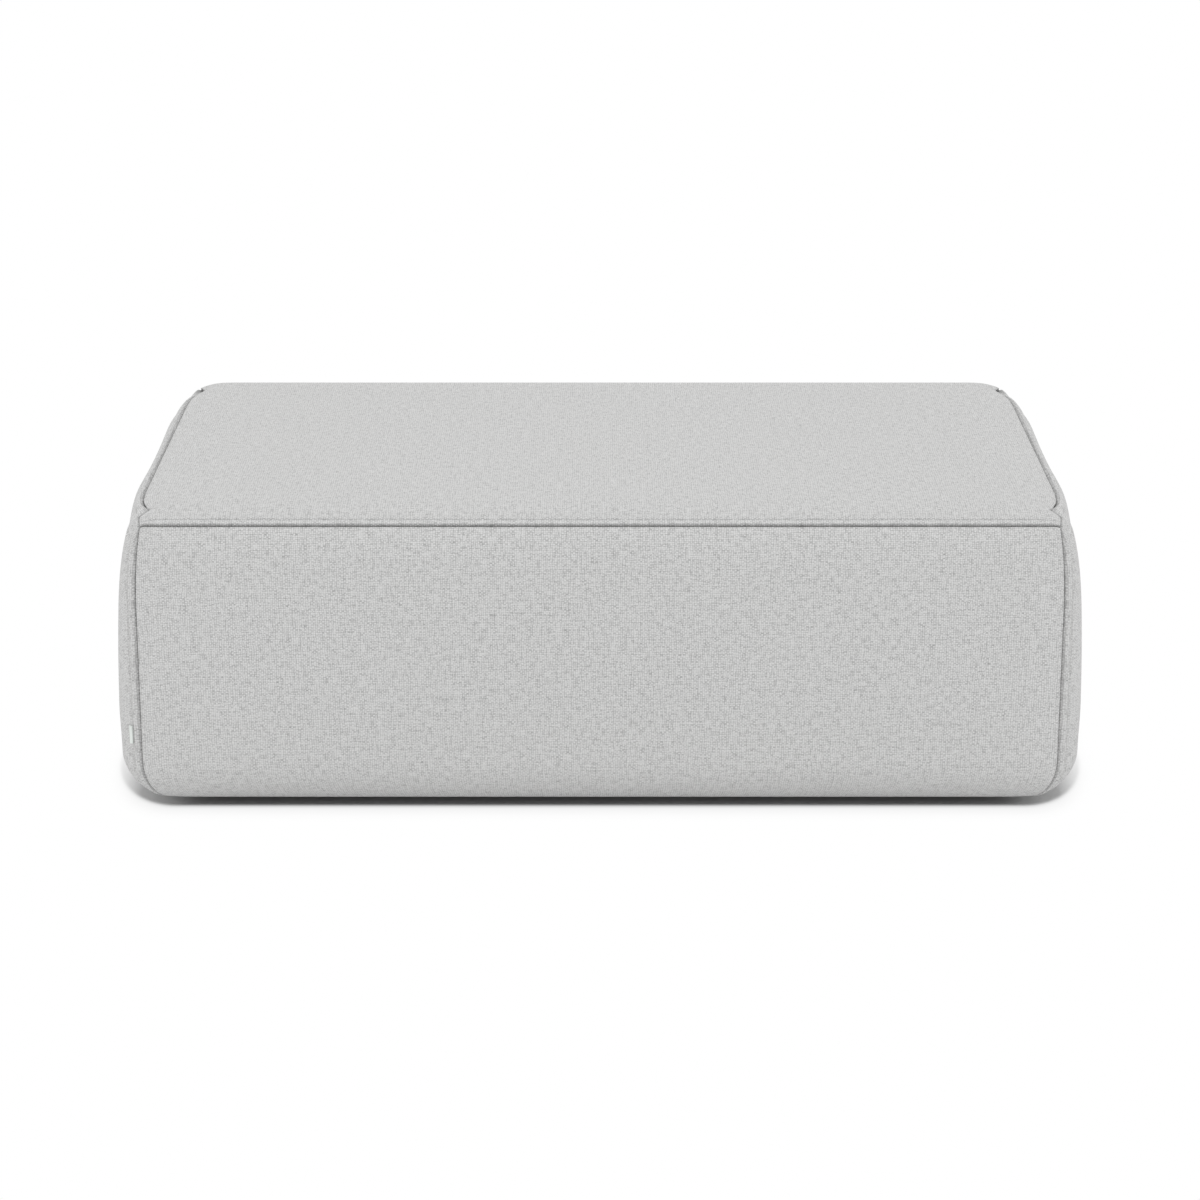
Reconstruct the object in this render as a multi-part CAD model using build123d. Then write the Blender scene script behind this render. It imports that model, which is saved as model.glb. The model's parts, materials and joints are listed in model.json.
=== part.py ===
from build123d import *
from math import comb
import os

import numpy as np

os.makedirs("parts", exist_ok=True)

# Overall size, bulge to bulge and floor to crown
overall_width = 1215.0
overall_depth = 742.0
overall_height = 400.0

# How far each panel swells past its seams
side_roll = 30.5
front_crown = 12.0
top_crown = 13.0
roll_reach = 50.0
shoulder_reach = 110.0
shoulder_share = 0.43
belly_power = 0.45
crown_reach = 60.0
top_reach = 85.0
crown_power = 3

# Seams
corner_pull = 7.0
ridge_height = 2.4
ridge_width = 8.5
ridge_drop = 7.0
ridge_tilt_angle = 45.0

# Lower edge of the cover, drawn in and turned under the frame
tuck_in = 38.0
tuck_height = 62.0
hem_width = 20.0

# Upholstery layers, from the outside in
cover_thickness = 2.0
wadding_thickness = 10.0
side_foam_thickness = 20.0
topper_thickness = 50.0
foam_corner_radius = 24.0
foam_top_bevel = 14.0
felt_thickness = 4.0
soft_gap = 0.3

# Timber frame
rail_thickness = 28.0
rail_height = 170.0
rail_lower_bevel = 14.0
rail_upper_bevel = 3.0
stretcher_count = 2
stretcher_height = 120.0
stretcher_drop = 14.0
housing_depth = 8.0
block_leg = 105.0
block_height = 110.0

# Elastic webbing
strap_width = 50.0
strap_thickness = 1.5
strap_edge_margin = 9.0
strap_lap = 12.0
long_strap_count = 3
cross_strap_count = 6

# Screws
screw_diameter = 4.5
screw_head_diameter = 9.0
screw_head_height = 3.0
screw_clearance = 0.15
foot_screw_length = 32.0
foot_screw_seat = 5.0

# Moulded block feet
foot_height = 15.0
foot_width = 52.0
foot_corner = 5.0
foot_inset = 38.0
foot_post_width = 22.0
foot_post_gap = 0.4
dust_cover_thickness = 0.8
dust_cover_margin = 8.0
dust_cover_corner = 12.0

# Bare side label sewn into the front left seam
label_length = 24.0
label_reach = 7.0
label_thickness = 0.9
label_level = 110.0
label_lean_angle = 20.0

# Steps across each curved strip of the outer skin and of its lining
curve_steps = 4
shoulder_steps = 5
belly_steps = 3
lining_steps = 3
tuck_steps = 6
padding_tuck_steps = 2

# Levels and half sizes that follow from the sizes above
seam_x = overall_width / 2 - side_roll
seam_y = overall_depth / 2 - front_crown
seam_z = overall_height - top_crown
hem_level = foot_height + dust_cover_thickness + soft_gap
rail_bottom = hem_level + cover_thickness + soft_gap
rail_top = rail_bottom + rail_height
upright = seam_z - hem_level - tuck_height
tuck_run = tuck_height
padding_inset = cover_thickness + soft_gap
foam_x = seam_x - padding_inset - wadding_thickness
foam_y = seam_y - padding_inset - wadding_thickness
foam_top = seam_z - padding_inset - wadding_thickness
rail_x = foam_x - side_foam_thickness
rail_y = foam_y - side_foam_thickness
inner_x = rail_x - rail_thickness
inner_y = rail_y - rail_thickness
strap_wave = (strap_thickness + soft_gap) / 2
felt_bottom = rail_top + strap_thickness + strap_wave + soft_gap
core_bottom = felt_bottom + felt_thickness
core_top = foam_top - topper_thickness
padding_bottom = (hem_level + padding_inset
                  + tuck_height * (1 - np.sin(np.pi / 2 * padding_tuck_steps / tuck_steps)))


def save(solid, name):
    """Write one named piece."""
    export_step(solid, os.path.join("parts", name + ".step"))


# Curved skins

def rolled(distance, reach):
    """Quarter ellipse: nothing at the seam, full at the reach."""
    return np.sqrt(1 - (1 - np.clip(distance / reach, 0, 1)) ** 2)


def eased(distance, reach):
    """Crown that rises fast beside the seam and levels out at the reach."""
    return 1 - (1 - np.clip(distance / reach, 0, 1)) ** crown_power


def swelled(share):
    """Belly of a side panel: level at both ends, its steepest part near the top."""
    return np.sin(np.pi / 2 * share ** belly_power) ** 2


def pulled(distance):
    """Share of the corner pull that is left at a distance from the corner."""
    return (1 - np.clip(distance / crown_reach, 0, 1)) ** 2


def puffed(distance, width):
    """Cross-section of the lapped seam ridge."""
    return np.sin(np.pi * np.clip(distance / width, 0, 1))


def top_skin(x, y, inset=0.0, ridge=0.0):
    """Top panel: corners pulled in, crown in the middle, a ridge along front and back."""
    x_gap, y_gap = seam_x - np.abs(x), seam_y - np.abs(y)
    crown = top_crown * eased(x_gap, crown_reach) * eased(y_gap, top_reach)
    lap = ridge * puffed(y_gap, ridge_width) * np.clip(x_gap / ridge_width, 0, 1)
    drop = corner_pull * pulled(x_gap) * pulled(y_gap)
    return np.stack([
        x / seam_x * (seam_x - inset - corner_pull * pulled(y_gap)),
        y / seam_y * (seam_y - inset - corner_pull * pulled(x_gap)),
        seam_z - inset - drop + crown + lap,
    ], -1)


def wall_skin(along, girth, half_along, half_out, roll, inset=0.0, ridge=0.0):
    """Upright panel, by place along it and girth down from the top seam: upright,
    then a quarter ellipse that draws it in, then the flat hem. Gives along, out, up."""
    down = np.clip(girth, 0, upright)
    turn = np.clip((girth - upright) / tuck_run, 0, 1) * np.pi / 2
    under = np.clip(girth - upright - tuck_run, 0, None)
    gap = half_along - np.abs(along)
    share, depth_share = along / half_along, down / upright
    if roll:
        fullness = roll * rolled(gap, roll_reach) * (
            shoulder_share * rolled(down, shoulder_reach)
            + (1 - shoulder_share) * swelled(depth_share))
    else:
        fullness = front_crown * eased(gap, crown_reach) * eased(down, crown_reach)
    lap_gap, lap_down = ridge_place(gap), down / ridge_drop
    lap_side = ridge * puffed(lap_gap, 1.0) * np.clip(lap_down, 0, 1) * np.cos(turn) ** 2
    lap_top = ridge * puffed(lap_down, 1.0) * np.clip(lap_gap, 0, 1)
    pull = corner_pull * pulled(gap) * pulled(down)
    half_here = (half_along - inset - tuck_in * (1 - np.cos(turn))
                 - corner_pull * pulled(down) - under)
    out = (half_out - inset - tuck_in + (tuck_in + fullness) * np.cos(turn)
           - pull - under)
    up = (seam_z - inset - pull - depth_share * (upright - 2 * inset)
          - tuck_height * np.sin(turn))
    return np.stack([
        share * half_here + np.sign(along) * lap_side * np.cos(lap_gap * ridge_turn),
        out + lap_side * np.sin(lap_gap * ridge_turn) + lap_top * np.sin(ridge_tilt),
        up + lap_top * np.cos(ridge_tilt),
    ], -1)


ridge_tilt = np.radians(ridge_tilt_angle)
ridge_turn = np.arcsin(ridge_width / side_roll)
ridge_reach = roll_reach * (1 - np.cos(ridge_turn))


def ridge_place(distance):
    """Place across the upright seam's ridge, 0 at the seam and 1 at its stitching."""
    return np.arccos(np.clip(1 - distance / roll_reach, -1, 1)) / ridge_turn


def front_skin(x, girth, inset=0.0, ridge=0.0):
    """Front panel, which carries no ridge of its own."""
    local = wall_skin(x, girth, seam_x, seam_y, 0, inset, ridge)
    return np.stack([local[..., 0], -local[..., 1], local[..., 2]], -1)


def right_skin(y, girth, inset=0.0, ridge=0.0):
    """Right panel, which carries the ridges of its top and upright seams."""
    local = wall_skin(y, girth, seam_y, seam_x, side_roll, inset, ridge)
    return np.stack([local[..., 1], local[..., 0], local[..., 2]], -1)


# Bezier patches through points of a skin

def fit_matrix(steps):
    """Turns points at even steps into the control points of the curve through them."""
    t = np.linspace(0, 1, steps + 1)[:, None]
    k = np.arange(steps + 1)[None, :]
    choose = np.array([comb(steps, i) for i in range(steps + 1)])
    return np.linalg.inv(choose * t ** k * (1 - t) ** (steps - k))


def vectors(points):
    """Rows of points as vectors."""
    return [Vector(*map(float, point)) for point in points]


def patch(points):
    """Face through a grid of points."""
    rows, columns = fit_matrix(points.shape[0] - 1), fit_matrix(points.shape[1] - 1)
    net = np.einsum("ai,bj,ijc->abc", rows, columns, points)
    return Face.make_bezier_surface([vectors(row) for row in net])


def curve(points):
    """Edge through a row of points, the same as the border of a patch there."""
    return Edge.make_bezier(*vectors(fit_matrix(len(points) - 1) @ points))


def bend(start, stop, reach=0.0, steps=curve_steps):
    """Steps across a curved cell, closer together where a roll turns fastest."""
    if reach:
        angles = np.linspace(np.arccos(1 - start / reach), np.arccos(1 - stop / reach),
                             steps + 1)
        return reach * (1 - np.cos(angles))
    return np.linspace(start, stop, steps + 1)


def across(half, near):
    """Cells from one seam to the other, mirrored about a straight middle one."""
    first = [cell - half for cell in near]
    return first + [np.array([first[-1][-1], -first[-1][-1]])] + [
        -cell[::-1] for cell in first[::-1]]


def downward(near):
    """Cells down a wall: beside the top seam, down the belly, drawn in and hemmed."""
    return near + [np.linspace(shoulder_reach, upright, belly_steps + 1),
                   np.linspace(upright, upright + tuck_run, tuck_steps + 1),
                   np.array([0.0, hem_width]) + upright + tuck_run]


def split(cells):
    """The same cells cut at every step, so that each one is straight."""
    return [cell[i:i + 2] for cell in cells for i in range(len(cell) - 1)]


def grid_faces(skin, rows, columns, **sizes):
    """Patches of a skin over every pair of cells."""
    return [patch(skin(*np.meshgrid(row, column, indexing="ij"), **sizes))
            for row in rows for column in columns]


def border(skin, rows, columns, side, **sizes):
    """Curves along one side of a skin."""
    places = {"first": rows[0][0], "last": rows[-1][-1],
              "top": columns[0][0], "bottom": columns[-1][-1]}
    at = places[side]
    if side in ("first", "last"):
        return [curve(skin(np.full_like(cell, at), cell, **sizes)) for cell in columns]
    return [curve(skin(cell, np.full_like(cell, at), **sizes)) for cell in rows]


def panel(skin, rows, columns, lining_rows, lining_columns, ridge=0.0):
    """Closed cloth panel: outer skin, faceted lining and the flat mitred seam edges."""
    faces = grid_faces(skin, rows, columns, ridge=ridge)
    faces += grid_faces(skin, lining_rows, lining_columns, inset=cover_thickness)
    for side in ("first", "last", "top", "bottom"):
        outer = border(skin, rows, columns, side, ridge=ridge)
        inner = border(skin, lining_rows, lining_columns, side, inset=cover_thickness)
        ends = [Edge.make_line(outer[0] @ 0, inner[0] @ 0),
                Edge.make_line(outer[-1] @ 1, inner[-1] @ 1)]
        faces.append(Face(Wire(outer + inner + ends)))
    return Solid(Shell(faces))


ridge_cell = np.linspace(0, ridge_width, curve_steps + 1)
beside_ridge = bend(ridge_width, crown_reach)
top_edge = np.array([crown_reach, top_reach])
roll_cells = [bend(0, ridge_reach, roll_reach), bend(ridge_reach, roll_reach, roll_reach),
              bend(roll_reach, crown_reach)]
crown_cell = bend(0, crown_reach)
lining_near = [bend(0, roll_reach, roll_reach, lining_steps),
               np.array([roll_reach, crown_reach])]
lining_x = split(across(seam_x, lining_near))
lining_y = split(across(seam_y, lining_near))
shoulder_cell = bend(0, shoulder_reach, shoulder_reach, shoulder_steps)
ridge_down = [np.linspace(0, ridge_drop, curve_steps + 1),
              bend(ridge_drop, shoulder_reach, shoulder_reach, shoulder_steps)]
lining_down = split(downward([shoulder_cell]))


def make_cover():
    """Five sewn panels, each crowned between its seams."""
    top = panel(top_skin, across(seam_x, [crown_cell]),
                split(across(seam_y, [ridge_cell, beside_ridge, top_edge])), lining_x,
                lining_y, ridge_height)
    front = panel(front_skin, across(seam_x, [crown_cell]),
                  split(downward(ridge_down)), lining_x, lining_down)
    right = panel(right_skin, across(seam_y, roll_cells),
                  split(downward(ridge_down)), lining_y, lining_down, ridge_height)
    return {"cover_top": top,
            "cover_front": front,
            "cover_back": front.mirror(Plane.XZ),
            "cover_right": right,
            "cover_left": right.mirror(Plane.YZ)}


def make_wadding():
    """Wadding that fills the cover down to the tacking edge, round the foam."""
    down = lining_down[:-1 - tuck_steps + padding_tuck_steps]
    faces = grid_faces(top_skin, lining_x, lining_y, inset=padding_inset)
    lower = []
    for skin, rows, turn in ((front_skin, lining_x, Plane.XZ),
                             (right_skin, lining_y, Plane.YZ)):
        near = grid_faces(skin, rows, down, inset=padding_inset)
        rim = border(skin, rows, down, "bottom", inset=padding_inset)
        faces += near + [face.mirror(turn) for face in near]
        lower += rim + [edge.mirror(turn) for edge in rim]
    envelope = Solid(Shell(faces + [Face(Wire(lower))]))
    return envelope - foam_block(soft_gap)


def foam_block(grow=0.0):
    """Outline of all the foam, as one block with bevelled upper edges."""
    bottom = padding_bottom - overall_height * (grow > 0)
    height = foam_top + grow - bottom
    block = Pos(0, 0, bottom) * Box(2 * (foam_x + grow), 2 * (foam_y + grow), height,
                                    align=(Align.CENTER, Align.CENTER, Align.MIN))
    block = fillet(block.edges().filter_by(Axis.Z), foam_corner_radius + grow)
    return chamfer(block.edges().group_by(Axis.Z)[-1], foam_top_bevel)


def slab(x, y, low, high):
    """Block centred on the origin in plan, between two levels."""
    return Pos(0, 0, low) * Box(x, y, high - low,
                                align=(Align.CENTER, Align.CENTER, Align.MIN))


def make_foam():
    """Firm core over the frame, four side sheets and a soft topper."""
    outline = foam_block()
    sides = outline & slab(2 * foam_x, 2 * foam_y, padding_bottom, core_top)
    long_side = Pos(0, foam_y - side_foam_thickness / 2, 0) * slab(
        2 * foam_x, side_foam_thickness, padding_bottom, core_top)
    short_side = Pos(foam_x - side_foam_thickness / 2, 0, 0) * slab(
        side_foam_thickness, 2 * rail_y, padding_bottom, core_top)
    back, right = sides & long_side, sides & short_side
    return {"foam_core": slab(2 * rail_x, 2 * rail_y, core_bottom, core_top),
            "foam_topper": outline & slab(2 * foam_x, 2 * foam_y, core_top, foam_top),
            "foam_side_back": back,
            "foam_side_front": back.mirror(Plane.XZ),
            "foam_side_right": right,
            "foam_side_left": right.mirror(Plane.YZ),
            "webbing_felt": slab(2 * rail_x, 2 * rail_y, felt_bottom, core_bottom)}


# Timber frame

def screw(length, room=0.0):
    """Pan head wood screw pointing up from its head, or the hole that takes it."""
    base = (Align.CENTER, Align.CENTER, Align.MIN)
    head = Cylinder(screw_head_diameter / 2 + room, screw_head_height, align=base)
    shank = Cylinder(screw_diameter / 2 + room, length + room, align=base)
    return head + shank


stretcher_places = [inner_x * (2 * (i + 1) / (stretcher_count + 1) - 1)
                    for i in range(stretcher_count)]


def foot_places():
    """Centres of the four feet, under the corner blocks."""
    return {(end + "_" + side): (sx * (inner_x - foot_inset), sy * (inner_y - foot_inset))
            for end, sy in (("front", -1), ("back", 1))
            for side, sx in (("left", -1), ("right", 1))}


def foot_screw_place(x, y):
    """Where the screw of a foot starts."""
    return Pos(x, y, foot_screw_seat)


def frame_ring():
    """Outline of the four rails, its edges eased for the cloth and the webbing."""
    ring = slab(2 * rail_x, 2 * rail_y, rail_bottom, rail_top)
    ring = chamfer(ring.edges().group_by(Axis.Z)[0], rail_lower_bevel)
    ring = chamfer(ring.edges().group_by(Axis.Z)[-1], rail_upper_bevel)
    return ring - slab(2 * inner_x, 2 * inner_y, rail_bottom, rail_top)


def make_frame():
    """Rails, cross stretchers housed in the long rails, and glued corner blocks."""
    ring = frame_ring()
    back_rail = ring & Pos(0, inner_y + rail_thickness / 2, 0) * slab(
        2 * rail_x, rail_thickness, rail_bottom, rail_top)
    right_rail = ring & Pos(inner_x + rail_thickness / 2, 0, 0) * slab(
        rail_thickness, 2 * inner_y, rail_bottom, rail_top)
    stretcher = slab(rail_thickness, 2 * (inner_y + housing_depth),
                     rail_top - stretcher_drop - stretcher_height, rail_top - stretcher_drop)
    stretchers = [Pos(x, 0, 0) * stretcher for x in stretcher_places]
    back_rail -= stretchers
    pieces = {"front_rail": back_rail.mirror(Plane.XZ), "back_rail": back_rail,
              "left_rail": right_rail.mirror(Plane.YZ), "right_rail": right_rail}
    pieces.update({f"stretcher_{n}": piece for n, piece in enumerate(stretchers, 1)})
    for name, (x, y) in foot_places().items():
        sx, sy = np.sign(x), np.sign(y)
        outline = Polyline((sx * inner_x, sy * inner_y),
                           (sx * (inner_x - block_leg), sy * inner_y),
                           (sx * inner_x, sy * (inner_y - block_leg)), close=True)
        block = extrude(Pos(0, 0, rail_bottom) * make_face(outline), block_height,
                        dir=(0, 0, 1))
        pieces["corner_block_" + name] = block - foot_screw_place(x, y) * screw(
            foot_screw_length, screw_clearance)
    return pieces


def make_foot_screws():
    """One screw up through each foot, as one group."""
    each = screw(foot_screw_length)
    return {"foot_screws": group(foot_screw_place(x, y) * each
                                 for x, y in foot_places().values())}


def group(pieces):
    """Separate solids under one name."""
    return Compound(children=[solid for piece in pieces for solid in piece.solids()])


# Webbing

def strap(half, inner, crossings, first):
    """Strap along X that rests on two rails and weaves over and under those it crosses."""
    rest = rail_top + strap_thickness / 2
    plateau = strap_width / 2 + strap_lap
    line = [(-half, rest), (-inner, rest)]
    for number, place in enumerate(crossings):
        level = rest + strap_wave * (first if number % 2 == 0 else -first)
        line += [(place - plateau, level), (place + plateau, level)]
    line += [(inner, rest), (half, rest)]
    upper = [(x, z + strap_thickness / 2) for x, z in line]
    lower = [(x, z - strap_thickness / 2) for x, z in reversed(line)]
    ribbon = make_face(Polyline(*upper, *lower, close=True))
    return extrude(Plane.XZ * ribbon, strap_width / 2, both=True)


def spaced(half, count):
    """Even places between two rails."""
    return [half * (2 * (i + 1) / (count + 1) - 1) for i in range(count)]


def make_webbing():
    """Interlaced straps, stapled along the tops of the rails."""
    lengths, crosses = spaced(inner_y, long_strap_count), spaced(inner_x, cross_strap_count)
    pieces = {}
    for number, y in enumerate(lengths):
        first = 1 if number % 2 == 0 else -1
        pieces[f"webbing_long_{number + 1}"] = Pos(0, y, 0) * strap(
            rail_x - strap_edge_margin, inner_x, crosses, first)
    for number, x in enumerate(crosses):
        first = -1 if number % 2 == 0 else 1
        pieces[f"webbing_cross_{number + 1}"] = Pos(x, 0, 0) * Rot(0, 0, 90) * strap(
            rail_y - strap_edge_margin, inner_y, lengths, first)
    return pieces


# Underside

def make_foot():
    """Moulded block with a post that passes the dust cover up to the corner block."""
    block = slab(foot_width, foot_width, 0, foot_height)
    block = chamfer(block.edges().filter_by(Axis.Z), foot_corner)
    block += slab(foot_post_width, foot_post_width, foot_height, rail_bottom)
    block -= Cylinder(screw_head_diameter / 2 + screw_clearance, foot_screw_seat,
                      align=(Align.CENTER, Align.CENTER, Align.MIN))
    return block - foot_screw_place(0, 0) * screw(foot_screw_length, screw_clearance)


def make_underside():
    """Feet, and the black cloth that closes the frame."""
    half_x = seam_x - tuck_in - dust_cover_margin
    half_y = seam_y - tuck_in - dust_cover_margin
    sheet = slab(2 * half_x, 2 * half_y, foot_height, foot_height + dust_cover_thickness)
    sheet = chamfer(sheet.edges().filter_by(Axis.Z), dust_cover_corner)
    foot = make_foot()
    hole_width = foot_post_width + 2 * foot_post_gap
    hole = slab(hole_width, hole_width, foot_height, rail_bottom)
    pieces = {}
    for name, (x, y) in foot_places().items():
        pieces["foot_" + name] = Pos(x, y, 0) * foot
        sheet -= Pos(x, y, 0) * hole
    pieces["dust_cover"] = sheet
    return pieces


def make_label():
    """Bare folded tab caught under the stitching of the front left seam."""
    girth = seam_z - label_level
    beside = right_skin(np.array(ridge_reach - seam_y), np.array(girth))
    tab = Box(label_reach, label_thickness, label_length,
              align=(Align.MAX, Align.CENTER, Align.CENTER))
    x, y = -float(beside[0]), float(beside[1])
    return Pos(x - soft_gap, y - label_thickness, label_level) * Rot(
        0, 0, -label_lean_angle) * tab


def make_all():
    """Every named piece of the ottoman."""
    pieces = make_cover()
    pieces["side_label"] = make_label()
    pieces["wadding_wrap"] = make_wadding()
    for make in (make_foam, make_frame, make_foot_screws, make_webbing, make_underside):
        pieces.update(make())
    return pieces


for name, piece in make_all().items():
    save(piece, name)
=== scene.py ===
# %% [markdown]
# # An ottoman coffee table
#
# The real piece is a timber frame with webbing, foam and wadding, in a sewn cover of
# coarse light grey cloth. The construction model already has every solid in place, so it
# is loaded first as a fixed frame, and everything below gives it the looks: cloth panels
# with crowned faces and lapped seams, the stitches, the underside, and the finishes.

# %% Load the construction model
import json

import bmesh
import bpy
import numpy as np
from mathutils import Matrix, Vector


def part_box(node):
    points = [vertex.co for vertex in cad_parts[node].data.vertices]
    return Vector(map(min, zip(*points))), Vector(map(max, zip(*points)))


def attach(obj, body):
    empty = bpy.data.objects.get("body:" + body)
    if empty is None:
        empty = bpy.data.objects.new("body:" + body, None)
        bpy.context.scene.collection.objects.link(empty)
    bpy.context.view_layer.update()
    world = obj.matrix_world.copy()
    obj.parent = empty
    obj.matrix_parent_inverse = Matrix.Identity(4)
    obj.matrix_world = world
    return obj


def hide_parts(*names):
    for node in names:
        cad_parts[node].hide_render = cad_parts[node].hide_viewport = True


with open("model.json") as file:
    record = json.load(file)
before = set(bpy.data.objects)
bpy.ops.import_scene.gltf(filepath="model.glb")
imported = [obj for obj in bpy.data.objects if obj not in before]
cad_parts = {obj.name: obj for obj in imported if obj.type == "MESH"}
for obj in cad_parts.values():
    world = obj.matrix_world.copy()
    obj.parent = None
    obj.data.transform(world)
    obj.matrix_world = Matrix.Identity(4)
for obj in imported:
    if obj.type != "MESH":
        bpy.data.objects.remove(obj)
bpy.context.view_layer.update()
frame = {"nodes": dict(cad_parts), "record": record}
scene = bpy.context.scene
scene.view_settings.view_transform = "Standard"

# %% [markdown]
# ## Camera
#
# The photograph is taken from the front with a long lens that looks down a little on the
# piece. The lens length and the height came from fitting the seams' corners to the
# picture, so the camera is set by those numbers and not moved by eye.

# %% Camera
millimetre = 0.001
picture_width = 1200
lens_in_pixels = 3370
camera_place, camera_pitch = (0, -4.339, 1.542), 17.49

camera_settings = bpy.data.cameras.new("camera")
camera_settings.sensor_width = 36
camera_settings.lens = camera_settings.sensor_width * lens_in_pixels / picture_width
camera = bpy.data.objects.new("camera", camera_settings)
camera.location = camera_place
camera.rotation_euler = (np.radians(90 - camera_pitch), 0, 0)
scene.collection.objects.link(camera)
scene.camera = camera
print("lens:", round(camera_settings.lens, 1), "mm")

# %% [markdown]
# ## Shader maths
#
# A finish is a sum of patterns, and a sum reads best as a sum. This class wraps one
# socket of a node, so that adding or multiplying two of them adds the Math node that
# does it. Every other kind of node comes from its one method `node`.

# %% A socket that can be added and multiplied
class Field:
    """One value that changes over a surface, held by a node's output socket."""

    def __init__(self, tree, socket=None):
        self.tree = tree
        self.socket = socket

    def node(self, kind, settings=None, output=0, **inputs):
        """Add a node: its type, its settings, and its sockets by name or as s0, s1..."""
        made = self.tree.nodes.new("ShaderNode" + kind)
        for name, value in (settings or {}).items():
            if name == "stops":
                ramp = made.color_ramp.elements
                while len(ramp) < len(value):
                    ramp.new(0.5)
                for stop, (place, level) in zip(ramp, value):
                    stop.position, stop.color = place, (level, level, level, 1)
            else:
                setattr(made, name, value)
        for name, value in inputs.items():
            key = int(name[1:]) if name[1:].isdigit() else name.replace("_", " ")
            if isinstance(value, Field):
                self.tree.links.new(value.socket, made.inputs[key])
            else:
                made.inputs[key].default_value = value
        return Field(self.tree, made.outputs[output])

    def maths(self, operation, *others):
        """A Math node on this value and others."""
        values = {f"s{i}": v for i, v in enumerate((self,) + others)}
        return self.node("Math", {"operation": operation}, **values)

    def vector_maths(self, operation, output=0, **others):
        """A Vector Math node on this vector and another."""
        return self.node("VectorMath", {"operation": operation}, output, s0=self, **others)

    def __add__(self, other):
        return self.maths("ADD", other)

    def __sub__(self, other):
        return self.maths("SUBTRACT", other)

    def __mul__(self, other):
        return self.maths("MULTIPLY", other)

    def __truediv__(self, other):
        return self.maths("DIVIDE", other)

    def __pow__(self, other):
        return self.maths("POWER", other)

    def __rsub__(self, other):
        return (self * -1) + other

    __radd__, __rmul__ = __add__, __mul__

    def between(self, low, high):
        """0 below low, 1 above high, smooth in the middle."""
        return self.node("MapRange", {"interpolation_type": "SMOOTHSTEP"},
                         Value=self, From_Min=low, From_Max=high)

    def ramp(self, stops):
        """Grey level that runs straight from stop to stop, each a place and a level."""
        return self.node("ValToRGB", {"stops": stops}, Fac=self)

    def mix(self, first, second):
        """Colour between two others, by this value."""
        return self.node("Mix", {"data_type": "RGBA"}, output=2, s0=self, s6=first, s7=second)

    def stretched(self, x, y, z=1.0):
        """This vector with each part multiplied."""
        return self.vector_maths("MULTIPLY", s1=(x, y, z))

    def noise(self, scale, detail=2.0, roughness=0.5):
        """Soft random pattern, from 0 to 1, at this vector."""
        return self.node("TexNoise", Vector=self, Scale=scale, Detail=detail,
                         Roughness=roughness)


def new_finish(name, **constants):
    """Material with a Principled shader, whose constant inputs are set at once."""
    material = bpy.data.materials.new(name)
    material.use_nodes = True
    tree = material.node_tree
    shader = tree.nodes["Principled BSDF"]
    for key, value in constants.items():
        shader.inputs[key.replace("_", " ")].default_value = value
    return material, Field(tree), shader


def connect(shader, **fields):
    """Link fields to the shader's sockets."""
    for key, field in fields.items():
        field.tree.links.new(field.socket, shader.inputs[key.replace("_", " ")])


print("shader maths ready")

# %% [markdown]
# ## Studio
#
# The photograph has no hard shadow and no visible background: a white sweep under an
# even white ceiling. An evenly white world gives that light, and one large weak lamp,
# in front and above, lets the seams and the weave read.

# %% World and lamp
world_colour, world_strength = (1, 1, 1, 1), 1.0
lamp_width, lamp_depth, lamp_watts = 3.0, 2.0, 2.5
lamp_place, lamp_tilt = (0, -4.2, 3.0), 56

world = bpy.data.worlds.new("studio")
world.use_nodes = True
scene.world = world
background = world.node_tree.nodes["Background"]
background.inputs["Color"].default_value = world_colour
background.inputs["Strength"].default_value = world_strength

lamp_settings = bpy.data.lights.new("softbox", "AREA")
lamp_settings.shape = "RECTANGLE"
lamp_settings.size, lamp_settings.size_y = lamp_width, lamp_depth
lamp_settings.energy = lamp_watts
lamp = bpy.data.objects.new("softbox", lamp_settings)
lamp.location = lamp_place
lamp.rotation_euler = (np.radians(lamp_tilt), 0, 0)
scene.collection.objects.link(lamp)
print("lamp:", lamp_settings.energy, "W")

# %% [markdown]
# ## The sewn cover
#
# The cover is five panels over soft padding. It could be simulated as inflated cloth,
# but the real one is pulled so taut over foam that it has no folds except at its corners,
# only a crown that rises quickly beside each seam, sides that roll back, and a lower edge
# that is drawn in. Those are simple curves, so each panel is worked out as a surface of
# two parameters: a place along the panel and a distance across it. Where the seams lie is
# read from the construction model. How far the cloth swells between them was fitted to
# the outline in the picture.

# %% Where the seams lie
def node_box(node):
    """Low and high corner of a construction node, to a tenth of a millimetre."""
    return np.round(np.array(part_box(node), float), 4)


front_low, front_high = node_box("cover_front")
seam_x, hem_level, seam_z = front_high[0], front_low[2], front_high[2]
seam_y = node_box("cover_top")[1][1]
tuck_in, tuck_height, hem_width = 0.038, 0.062, 0.020
upright = seam_z - hem_level - tuck_height
print("seam to seam:", 2 * seam_x, 2 * seam_y, "upright:", round(upright, 4))


# %% Curves that the panels are made of
def rolled(distance, reach):
    """Quarter ellipse: one minus the square of what is left, then the root."""
    return np.sqrt(1 - (1 - np.clip(distance / reach, 0, 1)) ** 2)


def eased(distance, reach):
    """One minus the cube of the share that is left: steep at the seam, level at the reach."""
    return 1 - (1 - np.clip(distance / reach, 0, 1)) ** 3


def left_of(distance, reach):
    """Squared share of a reach that is left."""
    return (1 - np.clip(distance / reach, 0, 1)) ** 2


def bell(distance, width):
    """Bell curve: e to the power of minus the square of distance over width."""
    return np.exp(-(distance / width) ** 2)


def smooth(share):
    """S-curve from 0 to 1: three times the square less twice the cube."""
    share = np.clip(share, 0, 1)
    return share * share * (3 - 2 * share)


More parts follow.
